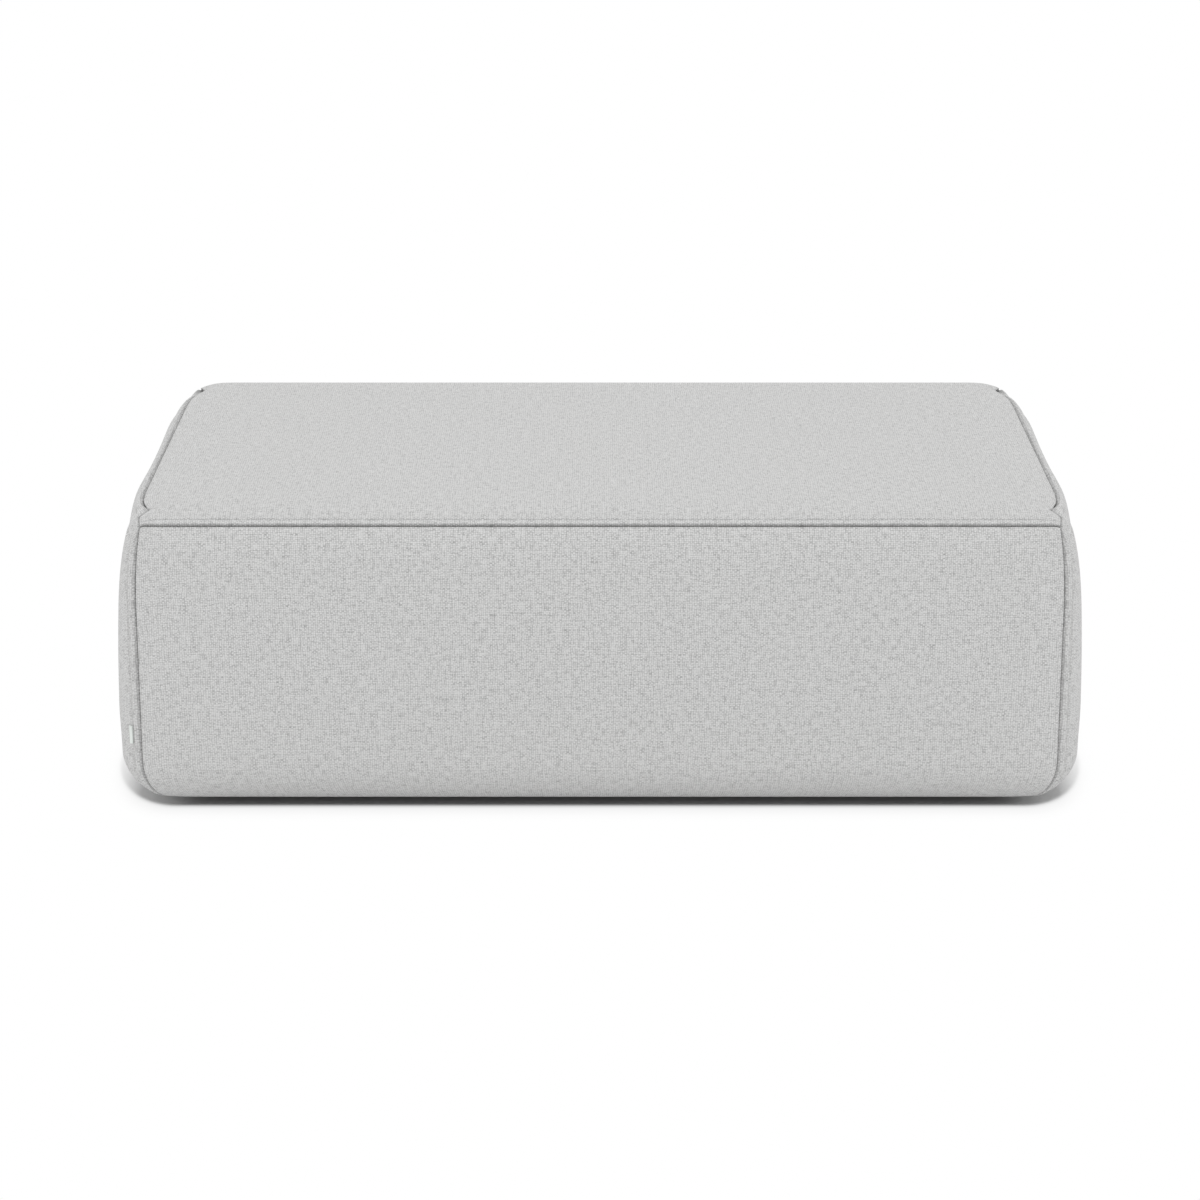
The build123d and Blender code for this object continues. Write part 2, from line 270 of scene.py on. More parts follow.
print("curves at half their reach:", rolled(0.5, 1), eased(0.5, 1), left_of(0.5, 1))

# %% [markdown]
# The seam allowance is folded to one side under the cloth and sewn down, which gives each
# lapped seam its ridge. The ridge lies beside the groove of the seam, and the thread draws
# the cloth down a little along the ridge's inner edge.

# %% The ridge of a lapped seam
ridge_width, ridge_height = 0.0085, 0.0022
ridge_rise, ridge_fall = 0.0014, 0.0005
dip_beyond, dip_width, dip_share = 0.0006, 0.0016, 0.5
groove_depth, groove_width = 0.0058, 0.0013
front_groove_depth, front_groove_width, front_groove_end = 0.0036, 0.0008, 0.002


def lapped(distance):
    """Share of the ridge's height: a quarter ellipse up, a level stretch and an S-curve
    down at the stitching, less a bell for the thread that draws the cloth down."""
    rise = rolled(distance, ridge_rise)
    fall = 1 / (1 + np.exp((distance - ridge_width) / ridge_fall))
    return rise * fall - dip_share * bell(distance - ridge_width - dip_beyond, dip_width)


def front_groove(across):
    """Depth of the front seam's groove: shallow, and as deep as the side's at the corner."""
    return (front_groove_depth
            + (groove_depth - front_groove_depth) * bell(across, front_groove_end))


print("ridge at its middle:", round(float(lapped(ridge_width / 2)), 3))

# %% [markdown]
# Where three seams meet, the thick corner is pulled in by its own stitching. The seam
# between top and side runs in towards the corner, is pinched further where its own
# lapped ridge ends, and comes out again to the corner itself. There the cloth beside it
# lies in a fold. It could be shaped by eye with a brush, but four corners have to match,
# so the places below were fitted to the outline in the picture, and a bell smooths the
# run through them.

# %% How the corners are drawn in
pinch_places = np.array([0, 10, 20, 27, 34, 45, 54, 62, 72, 85, 100, 130, 160]) * millimetre
pinch_sizes = np.array([9, 7.5, 6, 6.6, 9, 13.5, 17, 12.5, 8, 3.6, 0.9, -0.8, -1]) * millimetre
pinch_start, pinch_end, pinch_step, smoothing_steps = -0.02, 0.2, 0.0005, 8
crease_places = np.array([0, 10, 22, 31, 45, 53, 59, 68, 76, 90]) * millimetre
crease_shares = np.array([0.6, 0.35, 0.3, 0.8, 1.0, 0.9, 0.1, 0.1, 0.8, 1])
fold_place, fold_length = 0.041, 0.013
corner_x, corner_y, corner_z, corner_reach = pinch_sizes[0], 0.003, 0.003, 0.010
corner_drops, corner_drop_reach = ((0.25, 0.060), (0.75, 0.012)), 0.070
edge_drop, edge_drop_reach = 0.0036, 0.045
lobe_height, lobe_place, lobe_length, lobe_width = 0.0015, 0.026, 0.009, 0.022
back_drop, back_reach = 0.005, 0.022
pull_reach = 0.060


def pinched(distance):
    """Inward place of the top side seam: the run through the fitted places, each the
    bell-weighted mean of its neighbours, moved to the corner's own place at its end."""
    count = round((pinch_end - pinch_start) / pinch_step) + 1
    fine = np.linspace(pinch_start, pinch_end, count)
    shape = np.interp(np.abs(fine), pinch_places, pinch_sizes)
    weights = bell(np.linspace(-2, 2, 2 * smoothing_steps + 1), 1)
    padded = np.pad(shape, smoothing_steps, mode="edge")
    run = np.convolve(padded, weights / weights.sum(), mode="valid")
    to_corner = corner_x - np.interp(0, fine, run)
    return np.interp(distance, fine, run) + to_corner * left_of(distance, corner_reach)


def sagged(across, along_side):
    """Drop of the top edge: rolled over the front seam, and at a corner a short round
    drop and a long shallow one."""
    corner = corner_z * sum(share * left_of(across, reach) for share, reach in corner_drops)
    return (corner * left_of(along_side, corner_drop_reach)
            + edge_drop * left_of(along_side, edge_drop_reach))


def creased(distance):
    """Share of the groove's depth along the top side seam: straight between a few places,
    and deepest behind the corner."""
    return np.interp(distance, crease_places, crease_shares)


def folded(along_side):
    """Share of a fold in the cloth: a bell along the side seam, where it runs back out."""
    return bell(along_side - fold_place, fold_length)


def lobed(across, along_side):
    """Puffed end of the front ridge, between the corner and the crease behind it: a bell
    along the side, times the squared share that is left across."""
    return lobe_height * bell(along_side - lobe_place, lobe_length) * left_of(across, lobe_width)


def settled(points):
    """Lower points round the two back corners, which are rounder than the front ones: a
    bell round each corner, times the squared share of the height."""
    away = np.hypot(np.abs(points[..., 0]) - seam_x, points[..., 1] - seam_y)
    lower = back_drop * bell(away, back_reach) * (points[..., 2] / seam_z) ** 2
    return points - lower[..., None] * np.array([0, 0, 1])


print("pinch at its deepest:", round(float(pinched(pinch_places).max()), 4))

# %% [markdown]
# The top panel is a level plane with a low crown. It swells fastest beside its seams,
# because the foam pushes it up and the seams hold its edges down.

# %% Top surface
top_crown, top_reach_x, top_reach_y = 0.0124, 0.060, 0.085
edge_strip = 0.01


def top_surface(x, y, sewn=1.0):
    """Level plane, plus crown times both eased gaps, plus ridge front and back, less the
    corners' drop and the seam's groove; its edges follow the seams that are drawn in."""
    x_gap, y_gap = seam_x - np.abs(x), seam_y - np.abs(y)
    crown = top_crown * eased(x_gap, top_reach_x) * eased(y_gap, top_reach_y)
    ridge = sewn * ridge_height * lapped(y_gap) * rolled(x_gap, ridge_width)
    groove_x = sewn * groove_depth * bell(x_gap, groove_width) * creased(y_gap)
    groove_y = sewn * front_groove(x_gap) * bell(y_gap, front_groove_width)
    shift_x = pinched(y_gap) * left_of(x_gap, pull_reach) + groove_x * (x_gap < edge_strip)
    shift_y = corner_y * left_of(x_gap, pull_reach) * left_of(y_gap, pull_reach) + groove_y
    height = (seam_z + crown + ridge - sagged(x_gap, y_gap) + sewn * lobed(x_gap, y_gap)
              - np.maximum(groove_x, groove_y))
    return settled(np.stack([x - np.sign(x) * shift_x, y - np.sign(y) * shift_y, height], -1))


print("top centre:", np.round(top_surface(np.array(0.0), np.array(0.0)), 4))

# %% [markdown]
# The four walls hang from the top seams, stand upright, and turn in under the frame to a
# hem. The front and the back are nearly flat. The sides roll out under the top's edge and
# swell to a belly, and their own lapped ridges run down beside the upright seams and back
# along the top.

# %% Section of a side panel
side_roll, side_belly, side_reach, shoulder_reach = 0.013, 0.0180, 0.050, 0.110
roll_middle, shoulder_middle = 0.019, 0.050
middle_start, middle_blend = 0.05, 0.15
belly_power, belly_share, hem_start = 0.45, 0.10, 0.8
puff_size, puff_place, puff_length, puff_reach, puff_rise = 0.0035, 0.19, 0.085, 0.060, 0.010


def side_section(gap, down):
    """How far a side panel stands out from its seams: a roll that is fuller and quicker
    away from the corners, a belly lower down, and a puff between corner and middle."""
    away = smooth((gap - middle_start) / middle_blend)
    roll = side_roll + (roll_middle - side_roll) * away
    reach = shoulder_reach + (shoulder_middle - shoulder_reach) * away
    belly = side_belly * (np.sin(np.pi / 2 * (down / upright) ** belly_power) ** 2
                          - belly_share * smooth((down / upright - hem_start) / (1 - hem_start)))
    puff = puff_size * bell(gap - puff_place, puff_length) * left_of(down, puff_reach)
    return rolled(gap, side_reach) * (roll * rolled(down, reach) + belly
                                      + puff * rolled(down, puff_rise))


print("side at half height stands out:", round(float(side_section(seam_y, upright / 2)), 4))

# %% Wall surfaces
front_crown, front_reach = 0.012, 0.060
side_ridge_start, side_ridge_end = 0.058, 0.070
long_reach, short_reach, release_reach = 0.108, 0.020, 0.030
ridge_out, upright_ridge_out, ridge_up = 0.6, 0.3, 0.8


def wall_surface(along, girth, half_along, half_out, side, sewn=1.0):
    """Along, out and up of an upright panel: upright, a quarter ellipse of tuck, a hem.
    A side panel rolls out beside its seams and swells to a belly; a front one is crowned."""
    down = np.clip(girth, 0, upright)
    turn = np.clip((girth - upright) / tuck_height, 0, 1) * np.pi / 2
    under = np.clip(girth - upright - tuck_height, 0, None)
    gap = half_along - np.abs(along)
    left = left_of(down, long_reach)
    if side:
        full = side_section(gap, down)
        from_upright, from_top = np.hypot(gap, full), np.hypot(down, full)
        ridge_down = ridge_height * lapped(from_top) * rolled(
            gap - side_ridge_start, side_ridge_end - side_ridge_start)
        ridge_gap = ridge_height * lapped(from_upright) * np.cos(turn) * rolled(
            down, ridge_width)
        reach = short_reach + (long_reach - short_reach) * left_of(gap, release_reach)
        pull_out, pull_along = pinched(gap) * left_of(down, reach), corner_y * left
        pull_up = (sagged(0 * gap, gap) - sewn * lobed(0 * gap, gap)) * left
        depth, width = groove_depth * creased(gap), groove_width
    else:
        full = front_crown * eased(gap, front_reach) * eased(down, front_reach)
        from_upright, from_top = gap, down
        ridge_down = ridge_gap = 0 * gap
        pull_out, pull_along = corner_y * left_of(gap, pull_reach) * left, corner_x * left
        pull_up, depth, width = sagged(gap, 0 * gap) * left, front_groove(gap), front_groove_width
    groove_gap = sewn * groove_depth * bell(from_upright, groove_width) * np.cos(turn)
    groove_down = sewn * depth * bell(from_top, width) * (girth < upright)
    inwards = (pull_along + groove_gap) * left_of(gap, pull_reach)
    narrowed = (tuck_in * (1 - np.cos(turn)) + under) * np.abs(along) / half_along
    out = (half_out - tuck_in + (tuck_in + full) * np.cos(turn) - pull_out - under
           - np.maximum(groove_gap, groove_down)
           + sewn * (ridge_out * ridge_down + upright_ridge_out * ridge_gap))
    up = (seam_z - pull_up - groove_down - down - tuck_height * np.sin(turn)
          + sewn * ridge_up * ridge_down)
    return along - np.sign(along) * (inwards + narrowed - sewn * ridge_gap), out, up


def wall_points(name, along, girth, sewn=1.0):
    """Points of the front, back, left or right panel: its surface, turned to its side."""
    side = name in ("left", "right")
    turn = -1 if name in ("front", "left") else 1
    half_along, half_out = (seam_y, seam_x) if side else (seam_x, seam_y)
    along, out, up = wall_surface(along, girth, half_along, half_out, side, sewn)
    return settled(np.stack([turn * out, along, up] if side else [along, turn * out, up], -1))


hem = wall_points("front", np.array(0.0), upright + tuck_height + hem_width)
print("hem's edge in the middle of the front:", np.round(hem, 4))

# %% [markdown]
# The grooves of real seams are darker than smooth grooves come out in an even light,
# because thick fuzzy cloth lets little light in. The fuzz could be drawn as hair, at a
# great cost, so each point of a panel carries a painted shade instead, which darkens the
# cloth's colour in its finish. It is a sum of bells across the seams, with a wider one in
# the folds at the corners and a patch in the shadow of the label.

# %% Shade in the seams
side_shade, side_shade_width = 0.35, 0.0016
front_shade, front_shade_width = 0.45, 0.0008
fold_shade, side_fold_width, darkest = 0.65, 0.0052, 0.8
stitching_shade, stitching_width = 0.09, 0.0008
upright_shade, upright_shade_width = 0.15, 0.0020
label_shade, label_shade_before, label_shade_width, label_shade_half = 0.5, 0.0009, 0.0013, 0.55

label_low, label_high = node_box("side_label")
label_height = round(label_high[2] - label_low[2], 4)
label_level = (label_high[2] + label_low[2]) / 2


def seam_shade(from_side, from_front, share=1.0, fold=0.0, fold_width=0.0):
    """Shade in the grooves: a bell across the seam at the side, times its share, a bell
    across the one at the front, and a wider bell at the side in the fold of a corner."""
    near = (side_shade * share * bell(from_side, side_shade_width)
            + front_shade * bell(from_front, front_shade_width))
    in_fold = fold_shade * fold * bell(from_side, side_shade_width + fold_width)
    return np.clip(near + in_fold, 0, darkest)


def stitch_shade(distance, depth, width):
    """Shade where the stitching draws the cloth down beside its ridge."""
    return depth * bell(distance - ridge_width - dip_beyond, width)


def wall_shade(name, along, girth):
    """Shade of an upright panel: its seams', its stitchings', and behind the label."""
    down = np.clip(girth, 0, upright)
    if name in ("front", "back"):
        return seam_shade(seam_x - np.abs(along), down)
    gap = seam_y - np.abs(along)
    full = side_section(gap, down)
    from_top, from_upright = np.hypot(down, full), np.hypot(gap, full)
    beside_label = np.abs(seam_z - girth - label_level) < label_shade_half * label_height
    under_label = beside_label * (along < 0) * (name == "left")
    behind_ridge = bell(from_upright - ridge_width + label_shade_before, label_shade_width)
    return (seam_shade(from_top, from_upright, creased(gap), folded(gap), side_fold_width)
            + label_shade * under_label * behind_ridge
            + upright_shade * bell(from_upright, upright_shade_width)
            + stitch_shade(from_upright, stitching_shade, stitching_width)
            + stitch_shade(from_top, stitching_shade, stitching_width) * (gap > side_ridge_start))


print("label:", label_height, "m high, its middle at", round(label_level, 4), "m")

# %% [markdown]
# A ridge is a few millimetres wide on a panel of more than a metre. An even grid fine
# enough for it would have millions of points, so the rows are close beside the seams and
# grow wider apart further in.

# %% Grids that are finest beside the seams
first_step, step_growth, even_step, near_width = 0.0004, 0.065, 0.006, 0.10
tuck_rows, hem_rows = 23, 5


def seam_steps(reach):
    """Places away from a seam: 0.4 mm apart at first, then a fifteenth of the way so far,
    and 6 mm at most."""
    steps = [0.0]
    while steps[-1] < reach:
        steps.append(steps[-1] + max(first_step, min(step_growth * steps[-1], even_step)))
    return np.array(steps)


def at_lengths(section, lengths):
    """Distances from a seam at which a rolled section has run these lengths."""
    fine = np.linspace(0, 0.5, 4001) ** 2
    run = np.hypot(np.diff(fine), np.diff(section(fine)))
    return np.interp(lengths, np.concatenate([[0], np.cumsum(run)]), fine)


def spread(half, near):
    """Places from seam to seam: the near ones at both ends, even ones between."""
    count = int(2 * (half - near[-1]) / even_step) + 1
    centre = np.linspace(near[-1] - half, half - near[-1], count)
    return np.concatenate([near[:-1] - half, centre, (half - near[:-1])[::-1]])


near_flat = seam_steps(near_width)
near_upright = at_lengths(lambda gap: side_section(gap, 0.5 * upright), near_flat)
near_shoulder = at_lengths(lambda down: side_section(0.5 * seam_y, down), near_flat)
across_x, across_y = spread(seam_x, near_flat), spread(seam_y, near_flat)
across_side = spread(seam_y, near_upright)
tuck_girth = upright + np.linspace(0, tuck_height, tuck_rows + 1)[1:]
hem_girth = upright + tuck_height + np.linspace(0, hem_width, hem_rows + 1)[1:]


def down_wall(near):
    """Girths from the top seam to the hem's edge."""
    middle = np.arange(near[-1] + even_step, upright - even_step / 2, even_step)
    return np.concatenate([near, middle, [upright], tuck_girth, hem_girth])


panel_grids = {name: np.meshgrid(across_side, down_wall(near_shoulder), indexing="ij")
               for name in ("left", "right")}
panel_grids.update({name: np.meshgrid(across_x, down_wall(near_flat), indexing="ij")
                    for name in ("front", "back")})
print("grid sizes:", {name: grid[0].shape for name, grid in panel_grids.items()})

# %% [markdown]
# A mesh is a list of points and a list of faces. A subdivided plane could be bent into
# each panel, but a grid of points already says both, so it goes into the mesh as it is.
# The cloth map is measured in metres, so that the yarns are as wide on every panel.

# %% Put grids of points into a mesh
def grid_mesh(name, sheets):
    """Mesh of grids of points with quads between them, and a map in metres of cloth."""
    points, quads, maps, shades, count = [], [], [], [], 0
    for grid, cloth, flip, *shade in sheets:
        index = count + np.arange(grid[..., 0].size).reshape(grid.shape[:2])
        quad = np.stack([index[:-1, :-1], index[1:, :-1], index[1:, 1:], index[:-1, 1:]], -1)
        quads.append(quad.reshape(-1, 4)[:, ::-1] if flip else quad.reshape(-1, 4))
        points.append(grid.reshape(-1, 3))
        maps.append(cloth.reshape(-1, 2))
        shades.append(shade[0].ravel() if shade else np.zeros(len(points[-1])))
        count += len(points[-1])
    points, quads, maps = map(np.concatenate, (points, quads, maps))
    mesh = bpy.data.meshes.new(name)
    mesh.from_pydata(points, [], quads)
    mesh.uv_layers.new(name="cloth").data.foreach_set("uv", maps[quads.ravel()].ravel())
    mesh.polygons.foreach_set("use_smooth", np.ones(len(quads), bool))
    shade = mesh.attributes.new("seam_shade", "FLOAT", "POINT")
    shade.data.foreach_set("value", np.concatenate(shades))
    piece = bpy.data.objects.new(name, mesh)
    scene.collection.objects.link(piece)
    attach(piece, "root")
    return piece


def measured(points):
    """Cloth map of a grid: the length run along each row and column, from the middle."""
    along = np.linalg.norm(np.diff(points, axis=0), axis=-1).mean(1)
    across = np.linalg.norm(np.diff(points, axis=1), axis=-1).mean(0)
    u = np.concatenate([[0], np.cumsum(along)])
    v = np.concatenate([[0], np.cumsum(across)])
    return np.stack(np.meshgrid(u - u[-1] / 2, v, indexing="ij"), -1), (u[-1], v[-1])


flipped = {"top": False, "front": False, "back": True, "left": True, "right": False}
print("panels to make:", ", ".join(flipped))

# %% Five panels
top_fold_width, top_stitching_shade, top_stitching_width = 0.0015, 0.28, 0.0022

panels = []
for name, flip in flipped.items():
    if name == "top":
        x, y = np.meshgrid(across_x, across_y, indexing="ij")
        points, x_gap, y_gap = top_surface(x, y), seam_x - np.abs(x), seam_y - np.abs(y)
        shade = seam_shade(x_gap, y_gap, creased(y_gap), folded(y_gap), top_fold_width)
        shade += stitch_shade(y_gap, top_stitching_shade, top_stitching_width)
    else:
        points = wall_points(name, *panel_grids[name])
        shade = wall_shade(name, *panel_grids[name])
    cloth, size = measured(points)
    panel = grid_mesh("panel_" + name, [(points, cloth, flip, shade)])
    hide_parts("cover_" + name)
    panels.append(panel)
    print(name, "cut about", np.round(size, 3), "m,", len(panel.data.polygons), "quads")

# %% [markdown]
# Under the cloth lies a sheet of wadding. It is the same shape a little smaller, without
# grooves or ridges, and it ends where the cover turns in under the frame. It could be a
# thickened copy of the panels, but it shows only in a cutaway, so coarser grids on the
# same surfaces are enough.

# %% Wadding
wadding_depth = 0.0065
wadding_end = upright + tuck_height / 3
wadding_rows, coarser = 40, 4
inner_share = 1 - wadding_depth / np.array([seam_x, seam_y, seam_z])
layers = []
for name, flip in flipped.items():
    if name == "top":
        grid = np.meshgrid(across_x[::coarser], across_y[::coarser], indexing="ij")
        points = top_surface(*grid, sewn=0.0)
    else:
        places = (across_y if name in ("left", "right") else across_x)[::coarser]
        grid = np.meshgrid(places, np.linspace(0, wadding_end, wadding_rows), indexing="ij")
        points = wall_points(name, *grid, sewn=0.0)
    layers.append((points * inner_share, measured(points)[0], flip))
wadding = grid_mesh("wadding", layers)
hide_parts("wadding_wrap")
print("wadding:", len(wadding.data.polygons), "quads")

# %% [markdown]
# ## Stitches
#
# Each lapped seam is held by a row of visible stitches along the inner edge of its ridge.
# A texture would look flat there, and the rows are few, so every stitch is a small
# spindle of thread laid along the seam, half sunk in the cloth.

# %% One row of stitches
stitch_pitch, stitch_length, thread_radius = 0.0055, 0.0042, 0.00042
stitch_places = np.array([-0.5, -0.44, -0.2, 0.2, 0.44, 0.5])
stitch_radii = np.array([0.1, 0.7, 1.0, 1.0, 0.7, 0.1])
stitch_angles = np.linspace(0, 2 * np.pi, 7)


def unit(vectors):
    """Vectors of length one."""
    return vectors / np.linalg.norm(vectors, axis=-1, keepdims=True)


def stitch_row(line, beside):
    """Spindles along a line of points; beside is the line moved a little over the cloth.
    Each point is the middle, plus a share of the stitch's run, plus a ring round it."""
    steps = np.linalg.norm(np.diff(line, axis=0), axis=1)
    lengths = np.concatenate([[0], np.cumsum(steps)])
    centres = np.arange(stitch_pitch, lengths[-1] - stitch_pitch / 2, stitch_pitch)

    def at(points, where):
        return np.stack([np.interp(where, lengths, points[:, k]) for k in range(3)], -1)

    middle, half = at(line, centres), stitch_length / 2
    run = at(line, centres + half) - at(line, centres - half)
    up = unit(np.cross(run, at(beside, centres) - middle))
    side = unit(np.cross(up, run))
    ring = (np.cos(stitch_angles)[:, None, None] * side
            + np.sin(stitch_angles)[:, None, None] * up) * thread_radius
    grids = (middle + stitch_places[:, None, None, None] * run
             + stitch_radii[:, None, None, None] * ring)
    return np.moveaxis(grids, 2, 0)


print("stitches per metre:", round(1 / stitch_pitch))

# %% Stitches along every lapped seam
stitch_line = ridge_width + 0.0004
row_margin, row_tuck_share = 0.012, 0.6
beside_flat, beside_upright = 0.0004, 0.0002


def ends_at(section):
    """Distance along a seam's panel at which the straight way to the seam is as long as
    the stitching's from it."""
    fine = np.linspace(0, 0.03, 600)
    return np.interp(stitch_line, np.hypot(fine, section(fine)), fine)


rows = []
x = np.linspace(row_margin - seam_x, seam_x - row_margin, 900)
for end in (-1, 1):
    y = np.full_like(x, end * (seam_y - stitch_line))
    rows.append(stitch_row(top_surface(x, y), top_surface(x, y + beside_flat)))
girth = np.linspace(row_margin, upright + row_tuck_share * tuck_height, 400)
gap = np.array([ends_at(lambda fine: side_section(fine, min(low, upright))) for low in girth])
y = np.linspace(side_ridge_end - seam_y, seam_y - side_ridge_end, 600)
down = np.array([ends_at(lambda fine: side_section(seam_y - abs(place), fine)) for place in y])
for name in ("left", "right"):
    for end in (-1, 1):
        place = end * (seam_y - gap)
        beside = wall_points(name, place - end * beside_upright, girth)
        rows.append(stitch_row(wall_points(name, place, girth), beside))
    rows.append(stitch_row(wall_points(name, y, down), wall_points(name, y, down + beside_flat)))
no_cloth = np.zeros((len(stitch_places), len(stitch_angles), 2))
stitches = grid_mesh("stitches", [(grid, no_cloth, True) for row in rows for grid in row])
print("stitches:", sum(map(len, rows)), "quads:", len(stitches.data.polygons))

# %% [markdown]
# A short bare tape is folded in two and caught in the stitching of the left upright ridge,
# near the bottom. It stands out from the ridge and lies back along the side panel. It is
# too stiff and small to need a simulation. Its fold is a line of points that is seen from
# above, in millimetres out from the side seam and from the front seam, where minus is
# back, and it runs the same at every height, but for a faint curl.

# %% Bare folded label
label_out = np.array([8.7, 9.3, 10.2, 11.8, 13.0, 13.4, 13.6, 13.4, 12.8, 11.6, 10.3, 9.3,
                      8.8, 8.4])
label_front = np.array([-4.0, -3.0, -2.9, -3.5, -4.3, -4.4, -4.0, -3.5, -2.9, -2.2, -1.8,
                        -1.9, -2.7, -4.0])
label_rows, curl_size, curl_rate = 9, 0.0003, 150
curl_start, curl_reach, slant = 9, 4, 0.02

level = np.linspace(-0.5, 0.5, label_rows)[:, None] * label_height
curl_share = np.clip((label_out - curl_start) / curl_reach, 0, 1)
curl = curl_size * np.sin(level * curl_rate) * curl_share
label_points = np.stack([
    -(seam_x + label_out * millimetre) + 0 * level,
    -(seam_y + label_front * millimetre) - curl,
    label_level + level * (1 + slant * np.sin(label_out))], -1)
cloth, size = measured(label_points)
label = grid_mesh("label", [(label_points, cloth, False)])
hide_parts("side_label")
print("label cut:", np.round(size, 4))

# %% [markdown]
# ## Underside
#
# The frame is closed from below by a black non-woven cloth, stapled to the rails over the
# turned-in edge of the cover. It sags a little and puckers between its staples. That is
# the kind of thing that cloth simulation does well, but a few sine waves give the same
# shape at once. A post on each foot passes through the cloth, so the grid has lines on
# the sides of each hole.

# %% Dust cover
sheet_x, sheet_y = node_box("dust_cover")[1][:2]
foot_low, foot_high = node_box("foot_back_right")
foot_x, foot_y = ((foot_low + foot_high) / 2)[:2]
foot_hole, hole_clear = 0.0114, 0.003
sheet_level, sheet_step, sag, sag_power = 0.0156, 0.008, 0.0022, 1.5
staple_pitch, pucker_depth, pucker_reach = 0.060, 0.0004, 0.025


def lines_between(half, foot):
    """Even lines with extra ones on both sides of a foot's hole."""
    even = np.linspace(-half, half, int(2 * half / sheet_step))
    edges = np.array([foot - foot_hole, foot + foot_hole])
    even = even[np.all(np.abs(np.abs(even)[:, None] - edges) > hole_clear, axis=1)]
    return np.sort(np.concatenate([even, edges, -edges]))


lines_x, lines_y = lines_between(sheet_x, foot_x), lines_between(sheet_y, foot_y)
x, y = np.meshgrid(lines_x, lines_y, indexing="ij")
edge = np.minimum(sheet_x - np.abs(x), sheet_y - np.abs(y))
pucker = np.sin(np.pi * (x + y) / staple_pitch) ** 2 * np.exp(-edge / pucker_reach)
hang = np.sin(np.pi * (x / sheet_x + 1) / 2) * np.sin(np.pi * (y / sheet_y + 1) / 2)
height = sheet_level - sag * hang ** sag_power - pucker_depth * pucker
points = np.stack([x, y, height], -1)
dust_cover = grid_mesh("dust_cloth", [(points, np.stack([x, y], -1), True)])
print("dust cover lines:", len(lines_x), "by", len(lines_y))

# %% Holes for the feet
dust_mesh = dust_cover.data
centres = np.empty(3 * len(dust_mesh.polygons))
dust_mesh.polygons.foreach_get("center", centres)
centres = np.abs(centres.reshape(-1, 3))
in_hole = np.all(np.abs(centres[:, :2] - (foot_x, foot_y)) < foot_hole, axis=1)
editable = bmesh.new()
editable.from_mesh(dust_mesh)
editable.faces.ensure_lookup_table()
bmesh.ops.delete(editable, geom=[editable.faces[i] for i in np.flatnonzero(in_hole)],
                 context="FACES")
editable.to_mesh(dust_mesh)
editable.free()
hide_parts("dust_cover")
2 * sheet_x
print("dust cover quads:", len(dust_mesh.polygons), "cut out:", int(in_hole.sum()))

# %% [markdown]
# A staple shows only its straight back, which is pressed flat on the cloth, so a small
# box does for each.

# %% Staples round the dust cover
staple_half = np.array([0.0115, 0.0012, 0.0006]) / 2
staple_margin, staple_level = 0.006, 0.0151

spots = []
for half, other, turned in ((sheet_x, sheet_y, False), (sheet_y, sheet_x, True)):
    for place in np.arange(staple_pitch / 2 - half, half, staple_pitch):
        for end in (-1, 1):
            spot = (place, end * (other - staple_margin))
            spots.append((spot[::-1] if turned else spot, turned))
corners = np.array([[i, j, k] for i in (-1, 1) for j in (-1, 1) for k in (-1, 1)])
box_quads = np.array([(0, 1, 3, 2), (4, 6, 7, 5), (0, 4, 5, 1), (2, 3, 7, 6), (0, 2, 6, 4),
                      (1, 5, 7, 3)])
points, quads = [], []
for (x, y), turned in spots:
    size = staple_half[[1, 0, 2]] if turned else staple_half
    quads.append(box_quads + 8 * len(quads))
    points.append(corners * size + (x, y, staple_level))
staple_mesh = bpy.data.meshes.new("staples")
staple_mesh.from_pydata(np.concatenate(points), [], np.concatenate(quads))
staples = bpy.data.objects.new("staples", staple_mesh)
scene.collection.objects.link(staples)
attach(staples, "root")
print("staples:", len(spots))

# %% [markdown]
# ## Cloth
#
# The cloth is a coarse plain weave: warp and weft yarns between two and three millimetres
# wide, uneven in thickness and slightly mottled, with pin holes where four yarns meet.
# Drawing yarns as geometry would take millions of faces, so the weave is a pattern on the
# panel's own cloth map: the product of two sine waves says which yarn is on top, and the
# height of that yarn drives both a bump and painted shade in the gaps and pin holes. Where
# a warp yarn lies on top, the colour is painted a little lighter than where a weft yarn
# does, for the light that falls differently on yarns that run each way.

# %% Upholstery cloth
warp_pitch, weft_pitch = 0.00275, 0.0022
wander_of_yarns, crossing_blend = 1.6, 0.12
yarn_round, yarn_end_round = 0.7, 0.4
light_grey, black = (0.722, 0.722, 0.717, 1), (0, 0, 0, 1)
bump_height, bump_strength = 0.0006, 0.6


